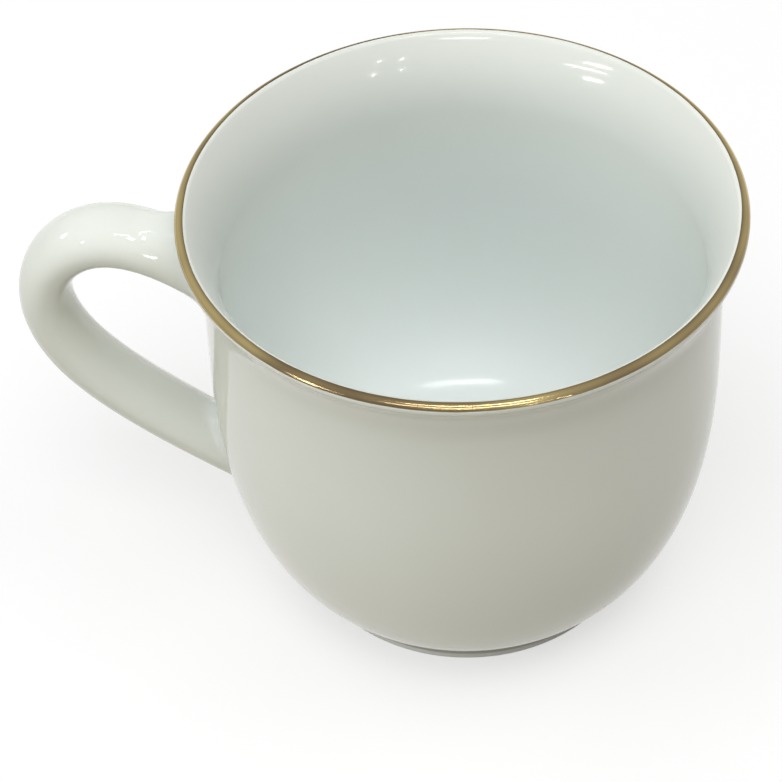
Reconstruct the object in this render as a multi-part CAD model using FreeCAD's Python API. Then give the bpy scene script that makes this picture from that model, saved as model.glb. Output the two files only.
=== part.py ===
import FreeCAD, Part
import math
import os
from FreeCAD import Vector

# A porcelain teacup: a round bowl with a flared lip on a low foot ring, a cast loop handle that
# is stuck to the wall at both ends with clay slip, and a line of gilding on the lip.
# Millimetres. +Z is up through the middle of the cup, z = 0 is the plane that it stands on,
# and the handle points along -X.

# Bowl
rim_diameter = 84.0          # widest, across the porcelain lip
cup_height = 71.0            # standing plane to the top of the porcelain lip
lip_thickness = 2.0          # the lip is fully round
lip_overhang = 3.3           # how far the lip stands out beyond the upright wall
wall_thickness = 2.5         # upright wall
outer_flare_depth = 10.5     # top of the lip down to where the outside turns upright
inner_flare_depth = 12.5     # the same on the inside
outer_wall_foot = 46.0       # height below which the outside of the wall curves in
inner_wall_foot = 43.0       # the same on the inside
heel_inset = 11.9            # upright wall in to the edge above the foot ring
heel_slope = 42.0            # degrees above level at which the outside leaves that edge
heel_pull = 16.2             # fullness of the outside curve at that edge
wall_pull = 10.6             # fullness of the outside curve at the upright wall
heel_edge_radius = 0.3       # softened edge above the foot ring
base_thickness = 3.5         # floor of the bowl
floor_pull = 31.0            # fullness of the inside curve at the floor
inner_wall_pull = 29.0       # fullness of the inside curve at the upright wall

# Foot ring
foot_height = 3.0
foot_step = 1.2              # the ring stands in from the edge of the bowl
foot_flare = 0.3             # its outside leans out by this much towards the ground
foot_ring_width = 3.6        # across the ring where it joins the bowl
foot_inner_draft = 0.6       # its inside leans out by this much towards the ground
foot_edge_radius = 0.5

# Gilding
gilding_thickness = 0.12
gilding_outer_edge = 15.0    # degrees round the lip, from level outwards
gilding_inner_edge = 108.0

# Handle
handle_width = 11.5          # across the cup
handle_depth_top = 8.4       # in the plane of the loop, at the upper root
handle_depth_bottom = 7.6    # the same at the lower root
# Its middle line is drawn in towards six points. Each is so far out from the upright wall, and
# so far below the top of the lip (drop) or above the ground (height).
start_depth = 5.7            # inside the wall face, where the blank of the handle starts
start_drop = 19.4
shoulder_out = 7.7
shoulder_drop = 6.4
crown_out = 23.2
crown_drop = 7.5
reach_out = 27.9
reach_height = 44.2
return_out = 12.4
return_height = 28.3
end_depth = 11.0             # inside the wall face, where the blank ends
end_height = 13.6

# Slip joints
slip_thickness = 0.4         # clay slip between the handle and the wall
upper_slip_radius = 2.8      # wiped hollow round the upper root
lower_slip_radius = 2.0

lip_radius = lip_thickness / 2
lip_middle_radius = rim_diameter / 2 - lip_radius
lip_middle_height = cup_height - lip_radius
wall_radius = rim_diameter / 2 - lip_overhang
heel_radius = wall_radius - heel_inset
floor_height = foot_height + base_thickness


def at(radius, height):
    """A point of a half section of the cup."""
    return Vector(radius, 0, height)


def line(start, end):
    return Part.LineSegment(start, end).toShape()


def curve(*poles):
    bezier = Part.BezierCurve()
    bezier.setPoles(list(poles))
    return bezier.toShape()


def arc_about(middle, start, end):
    """The short arc from start to end about middle."""
    half_way = (start - middle) + (end - middle)
    half_way.normalize()
    return Part.Arc(start, middle + half_way * (start - middle).Length, end).toShape()


def on_lip(degrees, radius=lip_radius):
    """A point on the round of the lip, counted from level outwards up to the top."""
    turn = math.radians(degrees)
    return at(lip_middle_radius + radius * math.cos(turn), lip_middle_height + radius * math.sin(turn))


def spin(edges, turn=360):
    """The solid that a closed half section makes about the cup's axis."""
    face = Part.Face(Part.Wire(edges))
    return face.revolve(Vector(0, 0, 0), Vector(0, 0, 1), turn)


def flare(upright_radius, start_height, side):
    """Arc from the upright wall to the round lip. side is 1 outside and -1 inside the cup."""
    lip_middle = at(lip_middle_radius, lip_middle_height)
    out = lip_middle_radius - upright_radius
    up = lip_middle_height - start_height
    radius = (out**2 + up**2 - lip_radius**2) / (2 * (out + side * lip_radius))
    middle = at(upright_radius + radius, start_height)
    towards = middle - lip_middle
    towards.normalize()
    touch = lip_middle + towards * (side * lip_radius)
    return arc_about(middle, at(upright_radius, start_height), touch), touch


def outside_edges(grow=0.0):
    """The outside of the bowl from the heel up to the lip, moved out by grow."""
    radius = wall_radius + grow
    heel = at(heel_radius + grow, foot_height)
    slope = math.radians(heel_slope)
    heel_pole = heel + at(math.cos(slope), math.sin(slope)) * heel_pull
    wall_foot = at(radius, outer_wall_foot)
    flare_start = cup_height - outer_flare_depth
    flare_arc, touch = flare(radius, flare_start, 1)
    edges = [
        curve(heel, heel_pole, wall_foot - at(0, wall_pull), wall_foot),
        line(wall_foot, at(radius, flare_start)),
        flare_arc,
    ]
    return edges, heel, touch


def plug(grow=0.0):
    """The bowl as a solid lump up to the lip, for trimming what stands against the wall."""
    edges, heel, touch = outside_edges(grow)
    top = at(0, touch.z)
    bottom = at(0, heel.z)
    return spin(edges + [line(touch, top), line(top, bottom), line(bottom, heel)])


def bowl():
    outside, heel, outer_touch = outside_edges()
    inner_radius = wall_radius - wall_thickness
    flare_start = cup_height - inner_flare_depth
    inner_flare, inner_touch = flare(inner_radius, flare_start, -1)
    wall_foot = at(inner_radius, inner_wall_foot)
    floor = at(0, floor_height)
    inside = [
        inner_flare,
        line(at(inner_radius, flare_start), wall_foot),
        curve(wall_foot, wall_foot - at(0, inner_wall_pull), floor + at(floor_pull, 0), floor),
    ]
    lip = Part.Arc(outer_touch, on_lip(90), inner_touch).toShape()
    bottom = at(0, heel.z)
    solid = spin(outside + [lip] + inside + [line(floor, bottom), line(bottom, heel)])
    heel_edge = [e for e in solid.Edges if round_edge_at(e, heel.x, heel.z)]
    return solid.makeFillet(heel_edge_radius, heel_edge)


def round_edge_at(edge, radius, height):
    return (
        not edge.Degenerated
        and isinstance(edge.Curve, Part.Circle)
        and abs(edge.Curve.Radius - radius) < 1e-6
        and abs(edge.Curve.Center.z - height) < 1e-6
    )


def foot_ring():
    top_outer = heel_radius - foot_step
    top_inner = top_outer - foot_ring_width
    bottom_outer = top_outer + foot_flare
    bottom_inner = top_inner + foot_inner_draft
    corners = [
        at(top_outer, foot_height),
        at(top_inner, foot_height),
        at(bottom_inner, 0),
        at(bottom_outer, 0),
    ]
    solid = spin([line(a, b) for a, b in zip(corners, corners[1:] + corners[:1])])
    standing = [
        e
        for e in solid.Edges
        if round_edge_at(e, bottom_inner, 0) or round_edge_at(e, bottom_outer, 0)
    ]
    return solid.makeFillet(foot_edge_radius, standing)


def gold_rim_band():
    """Gilding, a thin skin fired onto the top of the round lip, brushed on in two strokes."""
    skin = lip_radius + gilding_thickness
    middle = (gilding_outer_edge + gilding_inner_edge) / 2
    across = (gilding_outer_edge, middle, gilding_inner_edge)
    seat = Part.Arc(*[on_lip(degrees) for degrees in across]).toShape()
    face = Part.Arc(*[on_lip(degrees, skin) for degrees in across]).toShape()
    ends = [line(on_lip(degrees), on_lip(degrees, skin)) for degrees in (across[0], across[-1])]
    stroke = spin([seat, ends[1], face, ends[0]], 180)
    return stroke.fuse(stroke.rotated(Vector(0, 0, 0), Vector(0, 0, 1), 180))


def handle_line():
    """The middle line of the handle from inside the wall, round the loop and back into the wall."""
    poles = [
        handle_point(-start_depth, cup_height - start_drop),
        handle_point(shoulder_out, cup_height - shoulder_drop),
        handle_point(crown_out, cup_height - crown_drop),
        handle_point(reach_out, reach_height),
        handle_point(return_out, return_height),
        handle_point(-end_depth, end_height),
    ]
    loop = Part.BSplineCurve()
    loop.buildFromPoles(poles, False, 3)
    return Part.Wire(loop.toShape())


def handle_point(out, height):
    return Vector(-wall_radius - out, 0, height)


def section(point, way, depth):
    """The oval section of the handle, square to its middle line."""
    across = Vector(0, 1, 0)
    within = way.cross(across)
    oval = Part.Ellipse(point + across * (handle_width / 2), point + within * (depth / 2), point)
    return Part.Wire(oval.toShape())


def handle_blank():
    """The handle before its ends are trimmed to the wall."""
    path = handle_line()
    first, last = path.Edges[0], path.Edges[-1]
    shell = Part.BRepOffsetAPI.MakePipeShell(path)
    shell.setBiNormalMode(Vector(0, 1, 0))
    start_way = first.tangentAt(first.FirstParameter)
    end_way = last.tangentAt(last.LastParameter)
    shell.add(section(first.valueAt(first.FirstParameter), start_way, handle_depth_top))
    shell.add(section(last.valueAt(last.LastParameter), end_way, handle_depth_bottom))
    shell.build()
    shell.makeSolid()
    return shell.shape()


def handle(blank):
    """The cast handle, its ends trimmed to leave room for the slip."""
    return blank.cut(plug(slip_thickness))


def slip_joint(blank, lump, above, radius):
    """The slip that holds one root: a layer behind the handle and a hollow fillet wiped round it."""
    joined = lump.fuse(blank)
    faces = (lump.Shells[0], blank.Shells[0])
    between_roots = (cup_height - start_drop + end_height) / 2
    corner = [e for e in joined.Edges if on_both(e, faces) and (e.CenterOfMass.z > between_roots) == above]
    filled = joined.makeFillet(radius, corner)
    slip = filled.cut(lump).cut(handle(blank))
    return next(s for s in slip.Solids if (s.CenterOfMass.z > between_roots) == above)


def on_both(edge, faces):
    """Whether an edge lies in both of two shells, as the corner between two pieces does."""
    if edge.Degenerated:
        return False
    points = [Part.Vertex(p) for p in edge.discretize(5)]
    return all(face.distToShape(point)[0] < 1e-3 for point in points for face in faces)


def main():
    os.makedirs("parts", exist_ok=True)
    blank = handle_blank()
    lump = plug()
    parts = {
        "bowl": bowl(),
        "foot_ring": foot_ring(),
        "gold_rim_band": gold_rim_band(),
        "handle": handle(blank),
        "upper_handle_joint": slip_joint(blank, lump, True, upper_slip_radius),
        "lower_handle_joint": slip_joint(blank, lump, False, lower_slip_radius),
    }
    for name, shape in parts.items():
        print(name, shape.ShapeType, len(shape.Solids), shape.isValid(), round(shape.Volume, 2))
        shape.exportStep(f"parts/{name}.step")


main()
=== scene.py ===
import math

import bmesh
import bpy
from mathutils import Matrix, Vector, noise
from mathutils.geometry import interpolate_bezier


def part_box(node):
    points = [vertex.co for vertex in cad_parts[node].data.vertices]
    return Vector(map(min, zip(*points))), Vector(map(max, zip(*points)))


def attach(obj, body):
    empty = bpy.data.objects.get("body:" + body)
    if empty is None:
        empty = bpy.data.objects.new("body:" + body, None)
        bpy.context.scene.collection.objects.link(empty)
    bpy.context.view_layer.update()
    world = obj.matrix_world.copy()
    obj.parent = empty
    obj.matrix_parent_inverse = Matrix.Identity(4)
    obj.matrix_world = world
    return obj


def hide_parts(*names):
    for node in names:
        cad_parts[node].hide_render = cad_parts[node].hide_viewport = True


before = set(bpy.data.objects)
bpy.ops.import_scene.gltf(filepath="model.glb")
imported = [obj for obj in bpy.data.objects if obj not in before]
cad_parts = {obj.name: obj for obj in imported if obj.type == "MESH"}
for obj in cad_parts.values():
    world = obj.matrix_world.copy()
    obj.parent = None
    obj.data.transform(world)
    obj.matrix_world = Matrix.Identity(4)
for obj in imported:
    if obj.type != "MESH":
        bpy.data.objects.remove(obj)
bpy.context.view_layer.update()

# Camera. It stands in front of the cup, a little to the right, and looks down over the near lip
# into the bowl.
mm = 0.001
lip_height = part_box("bowl")[1][2]
rim_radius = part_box("bowl")[1][0]
camera_away = 350.8 * mm
camera_above_lip = 308.7 * mm
camera_round = math.radians(5.0)
aim_round = math.radians(1.87)
aim_up_from_straight_down = math.radians(45.37)
camera_roll = math.radians(-2.58)

lens = bpy.data.cameras.new("camera")
lens.sensor_width = 36.0
lens.lens = 147.3
camera = bpy.data.objects.new("camera", lens)
camera.matrix_world = (
    Matrix.Rotation(camera_round, 4, "Z")
    @ Matrix.Translation((0, -camera_away, lip_height + camera_above_lip))
    @ Matrix.Rotation(aim_round, 4, "Z")
    @ Matrix.Rotation(aim_up_from_straight_down, 4, "X")
    @ Matrix.Rotation(camera_roll, 4, "Z")
)
bpy.context.collection.objects.link(camera)
bpy.context.scene.camera = camera

# Bowl. White porcelain, pressed in a turning plaster mould, so it is true all round. The wall is
# upright, flares to a fully round lip, and thickens towards the heel above the foot ring.
lip_overhang = 3.3 * mm
wall_thickness = 2.5 * mm
heel_inset = 11.9 * mm
base_thickness = 3.5 * mm
heel_slope = math.radians(42)
lip_radius = 1.0 * mm
wall_radius = rim_radius - lip_overhang
inside_radius = wall_radius - wall_thickness
heel_radius = wall_radius - heel_inset
foot_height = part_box("foot_ring")[1][2]
floor_height = foot_height + base_thickness
lip_middle = Vector((rim_radius - lip_radius, 0, lip_height - lip_radius))


def at(radius, height):
    """A point of the cup's half section."""
    return Vector((radius, 0, height))


def bend(start, pull, counter_pull, end, steps):
    """Points along a bend that leaves start towards pull and meets end from counter_pull."""
    return interpolate_bezier(start, pull, counter_pull, end, steps)


def turn_about(middle, start, angle, steps):
    """Points on the arc from start, turned about middle in the plane of the half section."""
    arm = start - middle
    return [middle + Matrix.Rotation(-angle * k / steps, 3, "Y") @ arm for k in range(steps + 1)]


def angle_of(arm):
    return math.atan2(arm.z, arm.x)


def flare(upright, start_height, side, steps=20):
    """The arc from the upright wall to the lip. side is 1 outside the cup and -1 inside."""
    out = lip_middle.x - upright
    up = lip_middle.z - start_height
    radius = (out**2 + up**2 - lip_radius**2) / (2 * (out + side * lip_radius))
    middle = at(upright + radius, start_height)
    touch = lip_middle + (middle - lip_middle).normalized() * side * lip_radius
    start = at(upright, start_height)
    angle = angle_of(middle - touch) - angle_of(middle - start)
    return turn_about(middle, start, angle, steps)


def spin_piece(name, outline, steps=256, **marks):
    """A piece turned from a closed half section. Each mark has a value for each of its points."""
    bm = bmesh.new()
    for mark in marks:
        bm.verts.layers.float.new(mark)
    chain = [bm.verts.new(point) for point in outline]
    for mark, values in marks.items():
        for vertex, value in zip(chain, values):
            vertex[bm.verts.layers.float[mark]] = value
    for first, second in zip(chain, chain[1:]):
        bm.edges.new((first, second))
    if outline[0].x > 0:
        bm.edges.new((chain[-1], chain[0]))
    bmesh.ops.spin(
        bm, geom=chain + bm.edges[:], cent=(0, 0, 0), axis=(0, 0, 1),
        angle=math.tau, steps=steps, use_merge=True,
    )
    bmesh.ops.remove_doubles(bm, verts=bm.verts, dist=0.001 * mm)
    bmesh.ops.dissolve_degenerate(bm, edges=bm.edges, dist=0.001 * mm)
    bmesh.ops.recalc_face_normals(bm, faces=bm.faces)
    return finish_piece(name, bm)


def finish_piece(name, bm):
    mesh = bpy.data.meshes.new(name)
    bm.to_mesh(mesh)
    bm.free()
    mesh.shade_smooth()
    piece = bpy.data.objects.new(name, mesh)
    bpy.context.collection.objects.link(piece)
    return piece


heel_pull = 16.2 * mm
wall_pull = 10.6 * mm
outer_flare_depth = 10.5 * mm
inner_flare_depth = 12.5 * mm
inner_wall_pull = 29 * mm
floor_pull = 31 * mm
heel_round = 0.35 * mm
heel = at(heel_radius, foot_height)
heel_way = at(math.cos(heel_slope), math.sin(heel_slope))
outer_wall_foot = at(wall_radius, 46 * mm)
inner_wall_foot = at(inside_radius, 43 * mm)
floor = at(0, floor_height)
wall = bend(
    heel, heel + heel_way * heel_pull, outer_wall_foot - at(0, wall_pull), outer_wall_foot, 48
)
cavity = bend(
    inner_wall_foot, inner_wall_foot - at(0, inner_wall_pull), floor + at(floor_pull, 0), floor, 64
)
outer_flare = flare(wall_radius, lip_height - outer_flare_depth, 1)
inner_flare = flare(inside_radius, lip_height - inner_flare_depth, -1)
outside = wall + outer_flare
inside = inner_flare[::-1] + cavity
lip_turn = angle_of(inner_flare[-1] - lip_middle) - angle_of(outer_flare[-1] - lip_middle)
lip = turn_about(lip_middle, outer_flare[-1], lip_turn, 28)[1:-1]

# The underside is a little hollow in the middle, and the heel is softened.
hollow = at(0, foot_height + 0.5 * mm)
under = bend(
    hollow, hollow + at(9 * mm, 0), at(13 * mm, foot_height), at(20 * mm, foot_height), 12
)
heel_edge = bend(heel - at(heel_round, 0), heel, heel, heel + heel_way * heel_round, 6)
outline = under + heel_edge + outside[1:] + lip + inside

# The inside takes a cool, slightly darker tint that grows with depth, partly thick glaze and partly
# painted shade, strongest on the wall at the back. Painted shade darkens the outside for a few
# millimetres above the heel.
full_depth = 25 * mm
back_wall_shade_share = 0.45
pool_reach = 3.0 * mm
inside_glaze_and_shade_marks = [0.0] * (len(outline) - len(inside))
inside_glaze_and_shade_marks += [min(1.0, (lip_height - point.z) / full_depth) for point in inside]
# Painted shade in the crease over the foot ring, fading out a few millimetres above the heel.
pool_marks = [
    max(0.0, 1 - (point - heel).length / pool_reach) if point.z > foot_height else 0.0
    for point in outline
]
bowl = spin_piece("bowl_body", outline, inside=inside_glaze_and_shade_marks, pool=pool_marks)
# Painted shade: the inside tint stays full on the wall at the back and falls to a tenth at the front.
for vertex, mark in zip(bowl.data.vertices, bowl.data.attributes["inside"].data):
    mark.value *= 1 - back_wall_shade_share * (1 - vertex.co.y / wall_radius)
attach(bowl, "root")
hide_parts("bowl")


def glaze_group():
    """Clear glaze on white clay: faint clouds of colour, pinholes, a tint for thick glaze and for
    painted shade, which is also a little duller, a soft ripple, and the shallow rings left by turning."""
    group = bpy.data.node_groups.new("glaze", "ShaderNodeTree")
    face = group.interface
    for name in ("Clay", "Cloud", "Thick_and_shade"):
        face.new_socket(name, in_out="INPUT", socket_type="NodeSocketColor")
    for name in ("Thickness", "Rings"):
        face.new_socket(name, in_out="INPUT", socket_type="NodeSocketFloat")
    face.new_socket("Color", in_out="OUTPUT", socket_type="NodeSocketColor")
    face.new_socket("Roughness", in_out="OUTPUT", socket_type="NodeSocketFloat")
    face.new_socket("Height", in_out="OUTPUT", socket_type="NodeSocketFloat")
    node, link = group.nodes.new, group.links.new
    given, out, place = node("NodeGroupInput"), node("NodeGroupOutput"), node("ShaderNodeTexCoord")

    def clouds(scale, detail):
        made = node("ShaderNodeTexNoise")
        made.inputs["Scale"].default_value = scale
        made.inputs["Detail"].default_value = detail
        link(place.outputs["Object"], made.inputs["Vector"])
        return made.outputs["Fac"]

    def ranged(value, low, high, to_low, to_high):
        made = node("ShaderNodeMapRange")
        numbers = {"From Min": low, "From Max": high, "To Min": to_low, "To Max": to_high}
        for socket, number in numbers.items():
            made.inputs[socket].default_value = number
        link(value, made.inputs["Value"])
        return made.outputs["Result"]

    def mixed(factor, first, second):
        made = node("ShaderNodeMix")
        made.data_type = "RGBA"
        link(factor, made.inputs[0])
        link(first, made.inputs[6])
        link(second, made.inputs[7])
        return made.outputs[2]

    def math_of(operation, first, second):
        made = node("ShaderNodeMath")
        made.operation = operation
        for socket, value in zip(made.inputs, (first, second)):
            if isinstance(value, (int, float)):
                socket.default_value = value
            else:
                link(value, socket)
        return made.outputs["Value"]

    cloudy = ranged(clouds(24, 3), 0.35, 0.65, 0, 1)
    clouded = mixed(cloudy, given.outputs["Clay"], given.outputs["Cloud"])
    pinholes = ranged(clouds(900, 0), 0.80, 0.84, 0.0, 0.5)
    thick_and_shade = math_of("MAXIMUM", given.outputs["Thickness"], pinholes)
    link(mixed(thick_and_shade, clouded, given.outputs["Thick_and_shade"]), out.inputs["Color"])
    duller = math_of("MULTIPLY", given.outputs["Thickness"], 0.10)
    link(math_of("ADD", ranged(clouds(90, 4), 0.3, 0.7, 0.05, 0.10), duller), out.inputs["Roughness"])
    rings = node("ShaderNodeTexWave")
    rings.wave_type = "BANDS"
    rings.bands_direction = "Z"
    rings.inputs["Scale"].default_value = 95
    rings.inputs["Distortion"].default_value = 1.5
    link(place.outputs["Object"], rings.inputs["Vector"])
    turned = math_of("MULTIPLY", rings.outputs["Fac"], given.outputs["Rings"])
    link(math_of("ADD", clouds(110, 1), turned), out.inputs["Height"])
    return group


glaze = glaze_group()


def porcelain(name, clay, cloud, thick_and_shade, thickness_and_shade_mark="", rings=0.0):
    """Glazed porcelain. The piece's own mark says where it takes the tint of thick glaze and painted
    shade.
    """
    material = bpy.data.materials.new(name)
    material.use_nodes = True
    tree = material.node_tree
    shader = tree.nodes["Principled BSDF"]
    coat = tree.nodes.new("ShaderNodeGroup")
    coat.node_tree = glaze
    for socket, color in (("Clay", clay), ("Cloud", cloud), ("Thick_and_shade", thick_and_shade)):
        coat.inputs[socket].default_value = (*color, 1)
    coat.inputs["Rings"].default_value = rings
    if thickness_and_shade_mark:
        mark = tree.nodes.new("ShaderNodeAttribute")
        mark.attribute_name = thickness_and_shade_mark
        tree.links.new(mark.outputs["Fac"], coat.inputs["Thickness"])
    relief = tree.nodes.new("ShaderNodeBump")
    relief.inputs["Strength"].default_value = 0.3
    relief.inputs["Distance"].default_value = 0.02 * mm
    tree.links.new(coat.outputs["Color"], shader.inputs["Base Color"])
    tree.links.new(coat.outputs["Roughness"], shader.inputs["Roughness"])
    tree.links.new(coat.outputs["Height"], relief.inputs["Height"])
    tree.links.new(relief.outputs["Normal"], shader.inputs["Normal"])
    shader.inputs["IOR"].default_value = 1.45
    return material


def where_marked(material, mark, color, roughness):
    """Gives a glazed piece another colour and roughness as far as its mark says so."""
    tree = material.node_tree
    shader = tree.nodes["Principled BSDF"]
    where = tree.nodes.new("ShaderNodeAttribute")
    where.attribute_name = mark
    for socket, kind, first, second, value in (
        ("Base Color", "RGBA", 6, 7, (*color, 1)),
        ("Roughness", "FLOAT", 2, 3, roughness),
    ):
        glazed = shader.inputs[socket].links[0].from_socket
        either = tree.nodes.new("ShaderNodeMix")
        either.data_type = kind
        either.inputs[second].default_value = value
        tree.links.new(where.outputs["Fac"], either.inputs[0])
        tree.links.new(glazed, either.inputs[first])
        tree.links.new(either.outputs[2 if kind == "RGBA" else 0], shader.inputs[socket])


white_clay = (0.77, 0.79, 0.74)
white_cloud = (0.75, 0.77, 0.71)
# Cool, slightly darker tint: thick glaze at the handle's roots, and partly painted shade inside the
# bowl.
thick_glaze_and_inside_shade = (0.73, 0.78, 0.775)
# Painted shade colour for the crease above the heel.
pooled_glaze = (0.48, 0.49, 0.44)
bowl_porcelain = porcelain("bowl_porcelain", white_clay, white_cloud, thick_glaze_and_inside_shade, "inside", 0.05)
where_marked(bowl_porcelain, "pool", pooled_glaze, 0.1)
bowl.data.materials.append(bowl_porcelain)

# Foot ring. The same porcelain, set in a little from the edge of the bowl. Its glaze is painted darker,
# a painted shade under the heel, and stops above the standing edge, which was wiped before firing and
# is bare and matt.
ring_step = 1.2 * mm
ring_flare = 0.3 * mm
ring_width = 3.6 * mm
ring_inner_draft = 0.6 * mm
ring_edge = 0.5 * mm
bare_height = 0.8 * mm
ring_top_radius = heel_radius - ring_step
ring_foot_radius = ring_top_radius + ring_flare
ring_inner_top = ring_top_radius - ring_width
ring_inner_foot = ring_inner_top + ring_inner_draft
ring_sunk = at(0, 0.4 * mm)
outer_foot, inner_foot = at(ring_foot_radius, 0), at(ring_inner_foot, 0)
outer_rise, inner_rise = at(-0.05 * mm, ring_edge), at(-0.1 * mm, ring_edge)
ring_outline = [
    at(ring_inner_top, foot_height) + ring_sunk,
    at(ring_top_radius, foot_height) + ring_sunk,
    at(ring_top_radius, foot_height),
    outer_foot + at(-0.10 * mm, 1.0 * mm),
    outer_foot + at(-0.07 * mm, 0.7 * mm),
    *bend(outer_foot + outer_rise, outer_foot, outer_foot, outer_foot - at(ring_edge, 0), 8),
    *bend(inner_foot + at(ring_edge, 0), inner_foot, inner_foot, inner_foot + inner_rise, 8),
    at(ring_inner_top, foot_height),
]
bare_marks = [1.0 if point.z < bare_height else 0.0 for point in ring_outline]
# Painted shade on the glazed part of the ring, everything above the bare edge.
ring_shade_marks = [1.0 - bare for bare in bare_marks]
foot_ring = spin_piece("foot_ring_body", ring_outline, bare=bare_marks, pool=ring_shade_marks)
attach(foot_ring, "root")
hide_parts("foot_ring")
# Painted shade colour of the ring's glazed part.
ring_painted_shade = (0.50, 0.51, 0.46)
bare_clay = (0.90, 0.90, 0.87)
foot_porcelain = porcelain("foot_porcelain", white_clay, white_cloud, white_cloud)
where_marked(foot_porcelain, "pool", ring_painted_shade, 0.1)
where_marked(foot_porcelain, "bare", bare_clay, 0.75)
foot_ring.data.materials.append(foot_porcelain)

# Gold line. Liquid gold brushed round the top of the lip by hand on a turning wheel, then fired on.
# Its edges wander a little, it is narrower at the back, and brown in patches where the brush lifted.
# Both edges are painted darker, a painted shade where the round lip turns away.
gold_from = math.radians(15)
gold_to = math.radians(108)
gold_proud = 0.03 * mm
gold_sunk = 0.05 * mm
gold_fade = math.radians(4)
gold_wander = math.radians(5)
gold_thinning = math.radians(22)


def on_lip(angle, radius):
    """A point on the round of the lip, counted from level outwards up to the top."""
    return lip_middle + at(math.cos(angle), math.sin(angle)) * radius


full_from = on_lip(gold_from + gold_fade, lip_radius + gold_proud)
top_of_gold = turn_about(lip_middle, full_from, gold_to - gold_from - 2 * gold_fade, 20)
gold_outline = [
    on_lip(gold_from - gold_fade, lip_radius - gold_sunk),
    on_lip(gold_from, lip_radius),
    *top_of_gold,
    on_lip(gold_to, lip_radius),
    on_lip(gold_to + gold_fade, lip_radius - gold_sunk),
]
# Painted shade across the gold: full at both edges, none in the middle.
gold_edge_shade_marks = [abs(2 * k / (len(gold_outline) - 1) - 1) ** 2 for k in range(len(gold_outline))]
gold_line = spin_piece("gold_line", gold_outline, steps=480, edge=gold_edge_shade_marks)


def waver(outward, start):
    """A slow sway round the lip with a quicker one on top."""
    return noise.noise(outward * 3.0 + start) + 0.4 * noise.noise(outward * 11.0 + start)


def brushed(place):
    """Where a point of the gold goes when the brush wanders: each edge sways by itself, and the
    inner one draws in towards the back."""
    outward = place.xy.normalized().to_3d()
    middle = outward * lip_middle.x + at(0, lip_middle.z)
    angle = math.atan2((place - middle).z, (place - middle).dot(outward))
    share = (angle - gold_from) / (gold_to - gold_from)
    lower, upper = waver(outward, Vector((0, 0, 0))), waver(outward, Vector((7, 0, 0)))
    sway = gold_wander * (lower * (1 - share) + upper * share)
    sway -= gold_thinning * max(0, outward.y) * share
    across = Vector((-outward.y, outward.x, 0))
    return middle + Matrix.Rotation(-sway, 3, across) @ (place - middle)


for vertex in gold_line.data.vertices:
    vertex.co = brushed(vertex.co)
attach(gold_line, "root")
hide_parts("gold_rim_band")


bright_gold = (0.68, 0.54, 0.25)
lifted_gold = (0.22, 0.15, 0.09)
gold_edge_painted_shade = (0.10, 0.08, 0.05)


def fired_gold():
    """Bright gold, brown in patches, with painted shade darkening both edges, and brush strokes in its
    colour and its polish.
    """
    material = bpy.data.materials.new("fired_gold")
    material.use_nodes = True
    tree = material.node_tree
    shader = tree.nodes["Principled BSDF"]
    node, link = tree.nodes.new, tree.links.new
    place = node("ShaderNodeTexCoord")

    def patches(scale, low, high, to_low, to_high):
        cloud, span = node("ShaderNodeTexNoise"), node("ShaderNodeMapRange")
        cloud.inputs["Scale"].default_value = scale
        cloud.inputs["Detail"].default_value = 2
        numbers = {"From Min": low, "From Max": high, "To Min": to_low, "To Max": to_high}
        for socket, number in numbers.items():
            span.inputs[socket].default_value = number
        link(place.outputs["Object"], cloud.inputs["Vector"])
        link(cloud.outputs["Fac"], span.inputs["Value"])
        return span.outputs["Result"]

    def tinted(factor, first, color):
        made = node("ShaderNodeMix")
        made.data_type = "RGBA"
        link(factor, made.inputs[0])
        if isinstance(first, tuple):
            made.inputs[6].default_value = (*first, 1)
        else:
            link(first, made.inputs[6])
        made.inputs[7].default_value = (*color, 1)
        return made.outputs[2]

    edge = node("ShaderNodeAttribute")
    edge.attribute_name = "edge"
    patchy = tinted(patches(32, 0.44, 0.62, 0, 0.85), bright_gold, lifted_gold)
    # Painted shade: the gold darkens towards both edges.
    gold_with_edge_shade = tinted(edge.outputs["Fac"], patchy, gold_edge_painted_shade)
    link(gold_with_edge_shade, shader.inputs["Base Color"])
    link(patches(260, 0.3, 0.7, 0.07, 0.20), shader.inputs["Roughness"])
    shader.inputs["Metallic"].default_value = 1.0
    return material


gold_line.data.materials.append(fired_gold())

# Handle. A solid oval rod of porcelain, cast by itself in a two-part mould and stuck to the wall at
# both ends with clay slip, which was wiped to a hollow round each root before glazing.
half_width = 5.75 * mm
half_depth_top = 4.2 * mm
half_depth_bottom = 3.8 * mm
handle_poles = [
    at(-wall_radius + 5.7 * mm, lip_height - 19.4 * mm),
    at(-wall_radius - 7.7 * mm, lip_height - 6.4 * mm),
    at(-wall_radius - 23.2 * mm, lip_height - 7.5 * mm),
    at(-wall_radius - 27.9 * mm, 44.2 * mm),
    at(-wall_radius - 12.4 * mm, 28.3 * mm),
    at(-wall_radius + 11.0 * mm, 13.6 * mm),
]
handle_knots = [0, 0, 0, 0, 1 / 3, 2 / 3, 1, 1, 1, 1]
strips = 96
rings_along = 150
slip_top = lip_height - 3.5 * mm
slip_film = 0.004 * mm


def on_handle_line(share):
    """The point at a share of the handle's middle line, a cubic spline that its poles draw in."""
    span = max(k for k in range(3, 6) if handle_knots[k] <= share)
    points = handle_poles[span - 3 : span + 1]
    for level in range(1, 4):
        for k in range(3, level - 1, -1):
            low, high = handle_knots[span - 3 + k], handle_knots[span + 1 + k - level]
            points[k] = points[k - 1].lerp(points[k], (share - low) / (high - low))
    return points[3]


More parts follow.
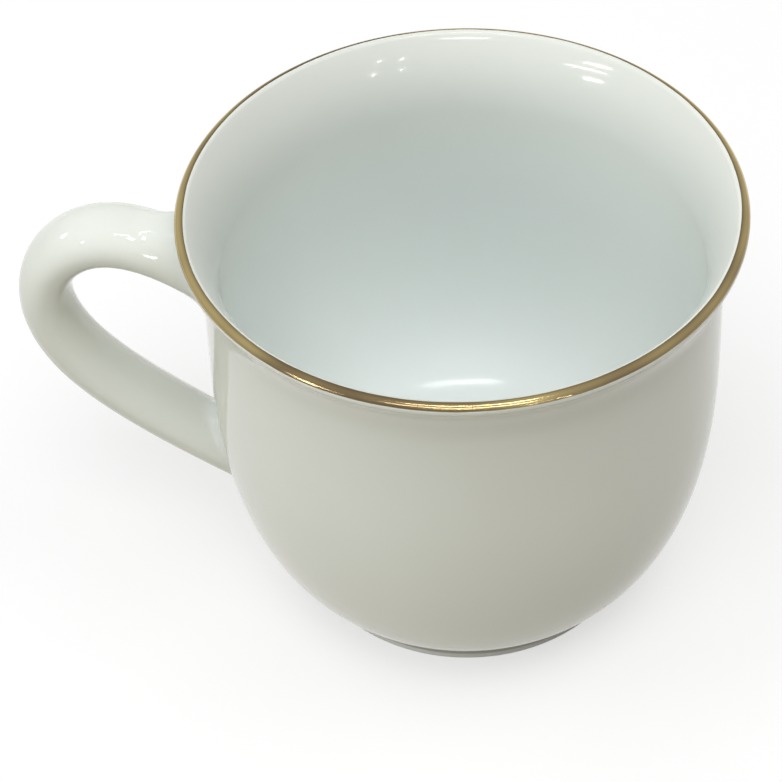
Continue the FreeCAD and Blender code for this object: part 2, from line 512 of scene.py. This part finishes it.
def on_handle(share, angle):
    """The point of the handle's skin at a share of its line and an angle round its section."""
    way = (on_handle_line(min(share + 0.001, 1)) - on_handle_line(max(share - 0.001, 0))).normalized()
    across = Vector((0, 1, 0))
    depth = half_depth_top + (half_depth_bottom - half_depth_top) * share
    return (
        on_handle_line(share)
        + across * half_width * math.cos(angle)
        + way.cross(across) * depth * math.sin(angle)
    )


def wall_at(height):
    """The outer radius of the bowl at a height."""
    for low, high in zip(outside, outside[1:]):
        if low.z <= height <= high.z:
            return low.x + (high.x - low.x) * (height - low.z) / (high.z - low.z)
    return rim_radius


def off_wall(point):
    """How far a point stands outside the wall, and below zero inside it."""
    return point.xy.length - wall_at(point.z)


def wall_normal(point):
    """The way the wall faces at the height of a point and on its side of the cup."""
    step = 0.4 * mm
    rise = (wall_at(point.z + step) - wall_at(point.z - step)) / (2 * step)
    return (point.xy.normalized().to_3d() - Vector((0, 0, rise))).normalized()


def onto_wall(point, lift=0.0):
    """The point moved level on to the wall, then off it by lift."""
    level = point.xy.normalized() * wall_at(point.z)
    return Vector((*level, point.z)) + wall_normal(point) * lift


def meeting(angle, buried, clear):
    """The share of the handle's line at which its skin leaves the wall, at an angle round it."""
    for _ in range(40):
        middle = (buried + clear) / 2
        if off_wall(on_handle(middle, angle)) < 0:
            buried = middle
        else:
            clear = middle
    return clear


def root(buried, clear, hollow, stretch):
    """The strips of the slip round one root: the share at which each leaves the handle, and its
    points from there to the wall and down into it. The slip runs stretch times as far up the
    handle as it does along the wall."""
    made = []
    for k in range(strips):
        angle = math.tau * k / strips
        share = meeting(angle, buried, clear)
        corner = onto_wall(on_handle(share, angle))
        before, after = (
            onto_wall(on_handle(meeting(angle + turn, buried, clear), angle + turn))
            for turn in (-0.05, 0.05)
        )
        away = (after - before).cross(wall_normal(corner)).normalized()
        if away.dot(corner - onto_wall(on_handle_line(share))) < 0:
            away = -away
        step = 0.01 if clear > buried else -0.01
        along_handle = on_handle(share + step, angle) - on_handle(share, angle)
        opening = away.angle(along_handle)
        room = (slip_top - corner.z) / max(away.z, 0.01)
        reach = min(hollow / math.tan(opening / 2), room)
        pull = 4 / 3 * reach * math.tan((math.pi - opening) / 4) * math.tan(opening / 2)
        leaves = share + step * reach * stretch / along_handle.length
        start = on_handle(leaves, angle)
        down_handle = (on_handle(leaves - step * 0.1, angle) - start).normalized()
        end = onto_wall(corner + away * reach, slip_film)
        back_along_wall = (onto_wall(corner, slip_film) - end).normalized()
        slope = bend(start, start + down_handle * pull * stretch, end + back_along_wall * pull, end, 16)
        sunk = onto_wall(end - back_along_wall * 0.4 * mm, -0.01 * mm)
        made.append((leaves, slope[1:] + [sunk, sunk - wall_normal(sunk) * 0.5 * mm]))
    return made


upper_hollow, upper_stretch = 3.4 * mm, 2.2
lower_hollow, lower_stretch = 2.0 * mm, 1.2
upper_root = root(0.0, 0.25, upper_hollow, upper_stretch)
lower_root = root(1.0, 0.8, lower_hollow, lower_stretch)
slip_rings = len(upper_root[0][1])
rings = [[points[k] for _, points in upper_root] for k in reversed(range(slip_rings))]
for j in range(rings_along + 1):
    share = j / rings_along
    rings.append([
        on_handle(upper[0] * (1 - share) + lower[0] * share, math.tau * k / strips)
        for k, (upper, lower) in enumerate(zip(upper_root, lower_root))
    ])
rings += [[points[k] for _, points in lower_root] for k in range(slip_rings)]


def draw_rod(rings):
    """A closed rod through rings of points, each ring extruded from the one before."""
    bm = bmesh.new()
    sides = len(rings[0])
    ring = bmesh.ops.create_circle(bm, segments=sides, radius=half_width, cap_ends=True)["verts"]
    for vertex, place in zip(ring, rings[0]):
        vertex.co = place
    edges = bm.edges[:]
    for places in rings[1:]:
        made = bmesh.ops.extrude_edge_only(bm, edges=edges)["geom"]
        fresh = {part for part in made if isinstance(part, bmesh.types.BMVert)}
        edges = [
            part for part in made
            if isinstance(part, bmesh.types.BMEdge) and fresh.issuperset(part.verts)
        ]
        ring = [
            next(
                edge.other_vert(vertex)
                for edge in vertex.link_edges
                if edge.other_vert(vertex) in fresh
            )
            for vertex in ring
        ]
        for vertex, place in zip(ring, places):
            vertex.co = place
    bmesh.ops.holes_fill(bm, edges=edges)
    bmesh.ops.recalc_face_normals(bm, faces=bm.faces)
    return bm


def skin_normals(bm):
    """The way each vertex faces: the wall's own way where the slip lies on it, so no line shows."""
    return [
        wall_normal(vertex.co) if off_wall(vertex.co) < 0.01 * mm else vertex.normal.copy()
        for vertex in bm.verts
    ]


whole = draw_rod(rings)
whole.verts.ensure_lookup_table()
facing = [tuple(normal) for normal in skin_normals(whole)]
whole.free()
handle_porcelain = porcelain("handle_porcelain", white_clay, white_cloud, thick_glaze_and_inside_shade, "pool")


def handle_piece(name, first, last, node):
    """The stretch of the handle between two rings, which faces as it would in one piece."""
    piece = finish_piece(name, draw_rod(rings[first : last + 1]))
    pool = piece.data.attributes.new("pool", "FLOAT", "POINT")
    depths = [max(0.0, 1 - min(k, len(rings) - 1 - k) / slip_rings) for k in range(first, last + 1)]
    pool.data.foreach_set("value", [depth for depth in depths for _ in range(strips)])
    piece.data.normals_split_custom_set_from_vertices(facing[first * strips : (last + 1) * strips])
    piece.data.materials.append(handle_porcelain)
    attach(piece, "root")
    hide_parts(node)
    return piece


last_ring = len(rings) - 1
handle_rod = handle_piece("handle_rod", slip_rings, last_ring - slip_rings, "handle")

# Upper handle joint. Slip squeezed out under the crook of the handle below the flare of the rim,
# wiped round with a wet sponge and glazed over.
upper_slip = handle_piece("upper_slip", 0, slip_rings, "upper_handle_joint")

# Lower handle joint. The same slip where the handle runs down into the belly of the bowl at a
# shallow angle, so that it is wider above the handle than below it.
lower_slip = handle_piece("lower_slip", last_ring - slip_rings, last_ring, "lower_handle_joint")

# Floor. A plain pale sheet that runs past the edge of the view. It shows as white, keeps the cup's
# soft shadow, and throws a slightly warm light up on to the wall.
bm = bmesh.new()
just_below = Matrix.Translation((0, 0, -0.02 * mm))
bmesh.ops.create_grid(bm, x_segments=8, y_segments=8, size=4.0, matrix=just_below)
floor_sheet = finish_piece("floor_sheet", bm)
white_sheet = bpy.data.materials.new("white_sheet")
white_sheet.use_nodes = True
tree = white_sheet.node_tree
tree.nodes.remove(tree.nodes["Principled BSDF"])


def seen_straight_or_in_gloss(tree):
    """1 for what the camera sees straight, in a reflection or through glass, and 0 for lighting."""
    way = tree.nodes.new("ShaderNodeLightPath")
    value = way.outputs["Is Camera Ray"]
    for other in ("Is Glossy Ray", "Is Transmission Ray"):
        either = tree.nodes.new("ShaderNodeMath")
        either.operation = "MAXIMUM"
        tree.links.new(value, either.inputs[0])
        tree.links.new(way.outputs[other], either.inputs[1])
        value = either.outputs["Value"]
    return value


def shader_node(tree, kind, color, **numbers):
    """A new shader of a kind and colour, with its other sockets set to the numbers."""
    made = tree.nodes.new(kind)
    made.inputs["Color"].default_value = (*color, 1)
    for socket, number in numbers.items():
        made.inputs[socket].default_value = number
    return made.outputs[0]


def shader_mix(tree, factor, first, second):
    """A mix of two shaders. The factor is a number or the socket that gives it."""
    made = tree.nodes.new("ShaderNodeMixShader")
    if isinstance(factor, float):
        made.inputs[0].default_value = factor
    else:
        tree.links.new(factor, made.inputs[0])
    tree.links.new(first, made.inputs[1])
    tree.links.new(second, made.inputs[2])
    return made.outputs[0]


warm_sheet = shader_node(tree, "ShaderNodeBsdfDiffuse", (0.42, 0.39, 0.31))
lit_white = shader_node(tree, "ShaderNodeBsdfDiffuse", (0.95, 0.95, 0.95))
plain_white = shader_node(tree, "ShaderNodeEmission", (1, 1, 1))
shown_white = shader_mix(tree, 0.6, lit_white, plain_white)
sheet = shader_mix(tree, seen_straight_or_in_gloss(tree), warm_sheet, shown_white)
tree.links.new(sheet, tree.nodes["Material Output"].inputs["Surface"])
floor_sheet.data.materials.append(white_sheet)

# Light. Soft boxes on all sides, the strongest above the front, a pale room all round, and small
# lamps whose only work is to glint. Those light nothing and show only in the pieces they are for.
world = bpy.data.worlds.new("pale_room")
world.use_nodes = True
bpy.context.scene.world = world
tree = world.node_tree
tree.nodes.remove(tree.nodes["Background"])
dim_room = shader_node(tree, "ShaderNodeBackground", (1.0, 1.0, 0.97), Strength=0.13)
pale_room = shader_node(tree, "ShaderNodeBackground", (1, 1, 1), Strength=0.6)
room = shader_mix(tree, seen_straight_or_in_gloss(tree), dim_room, pale_room)
tree.links.new(room, tree.nodes["World Output"].inputs["Surface"])


def lamp(name, up, round_, away, size, power, tint=(1, 1, 1)):
    """A lamp that faces the cup's mouth from an angle up, an angle round it and a distance."""
    light = bpy.data.lights.new(name, "AREA")
    light.shape = "ELLIPSE" if size[0] == size[1] else "RECTANGLE"
    light.size, light.size_y = size
    light.energy = power
    light.color = tint
    holder = bpy.data.objects.new(name, light)
    way = (
        Matrix.Rotation(math.radians(round_), 3, "Z")
        @ Matrix.Rotation(-math.radians(up), 3, "Y")
        @ Vector((1, 0, 0))
    )
    holder.location = Vector((0, 0, lip_height)) + way * away
    holder.rotation_euler = way.to_track_quat("Z", "Y").to_euler()
    holder.visible_camera = False
    bpy.context.collection.objects.link(holder)
    return holder


# Angle up, angle round, width, power and tint of each soft box. None shows as a reflection.
soft_boxes = (
    ("box_overhead", 84, -75, 1.2, 2.1, (0.97, 0.995, 1.0)),
    ("box_front", 60, -90, 0.8, 6.4, (1, 1, 1)),
    ("box_high_right", 60, 0, 0.8, 3.9, (1, 1, 1)),
    ("box_high_left", 60, 180, 0.8, 3.2, (1, 1, 1)),
    ("box_left", 22, -160, 0.9, 3.0, (0.96, 1.0, 0.99)),
    ("box_low", 12, -125, 0.8, 1.6, (1, 1, 1)),
    ("box_behind", 15, 95, 0.8, 3.6, (1, 1, 1)),
)
lamps_away = 1.2
for name, up, round_, wide, power, tint in soft_boxes:
    lamp(name, up, round_, lamps_away, (wide, wide), power, tint).visible_glossy = False

# Angle up, angle round, width, height and power of each glint.
glints_in_bowl = (
    (82, -80, 0.5, 0.035, 1.8),
    (34, -88, 0.34, 0.02, 0.6),
    (22, -143, 0.22, 0.02, 0.5),
    (17, -138, 0.34, 0.02, 0.6),
    (9, -141, 0.16, 0.04, 0.6),
    (19, -53, 0.03, 0.03, 0.12),
    (18, -62, 0.03, 0.03, 0.12),
    (8, -50, 0.03, 0.03, 0.12),
    (8, -62, 0.03, 0.03, 0.12),
)
glints_on_gold = ((50, -88, 0.9, 0.05, 2.4),)
glints_on_handle = (
    (82, -80, 0.3, 0.035, 1.0),
    (31, 168, 0.14, 0.14, 1.6),
    (43, -143, 0.09, 0.09, 1.0),
    (71, -59, 0.10, 0.10, 1.2),
    (23, -75, 0.12, 0.12, 1.2),
    (18, -37, 0.12, 0.12, 1.4),
    (25, -34, 0.12, 0.12, 1.4),
)
for kind, glints, pieces in (
    ("bowl_glint", glints_in_bowl, (bowl, foot_ring, gold_line)),
    ("gold_glint", glints_on_gold, (gold_line,)),
    ("handle_glint", glints_on_handle, (handle_rod, upper_slip, lower_slip)),
):
    lit = bpy.data.collections.new(kind + "_pieces")
    for piece in pieces:
        lit.objects.link(piece)
    for up, round_, wide, high, power in glints:
        glint = lamp(kind, up, round_, lamps_away, (wide, high), power)
        glint.visible_diffuse = False
        glint.light_linking.receiver_collection = lit

bpy.context.scene.view_settings.view_transform = "Standard"
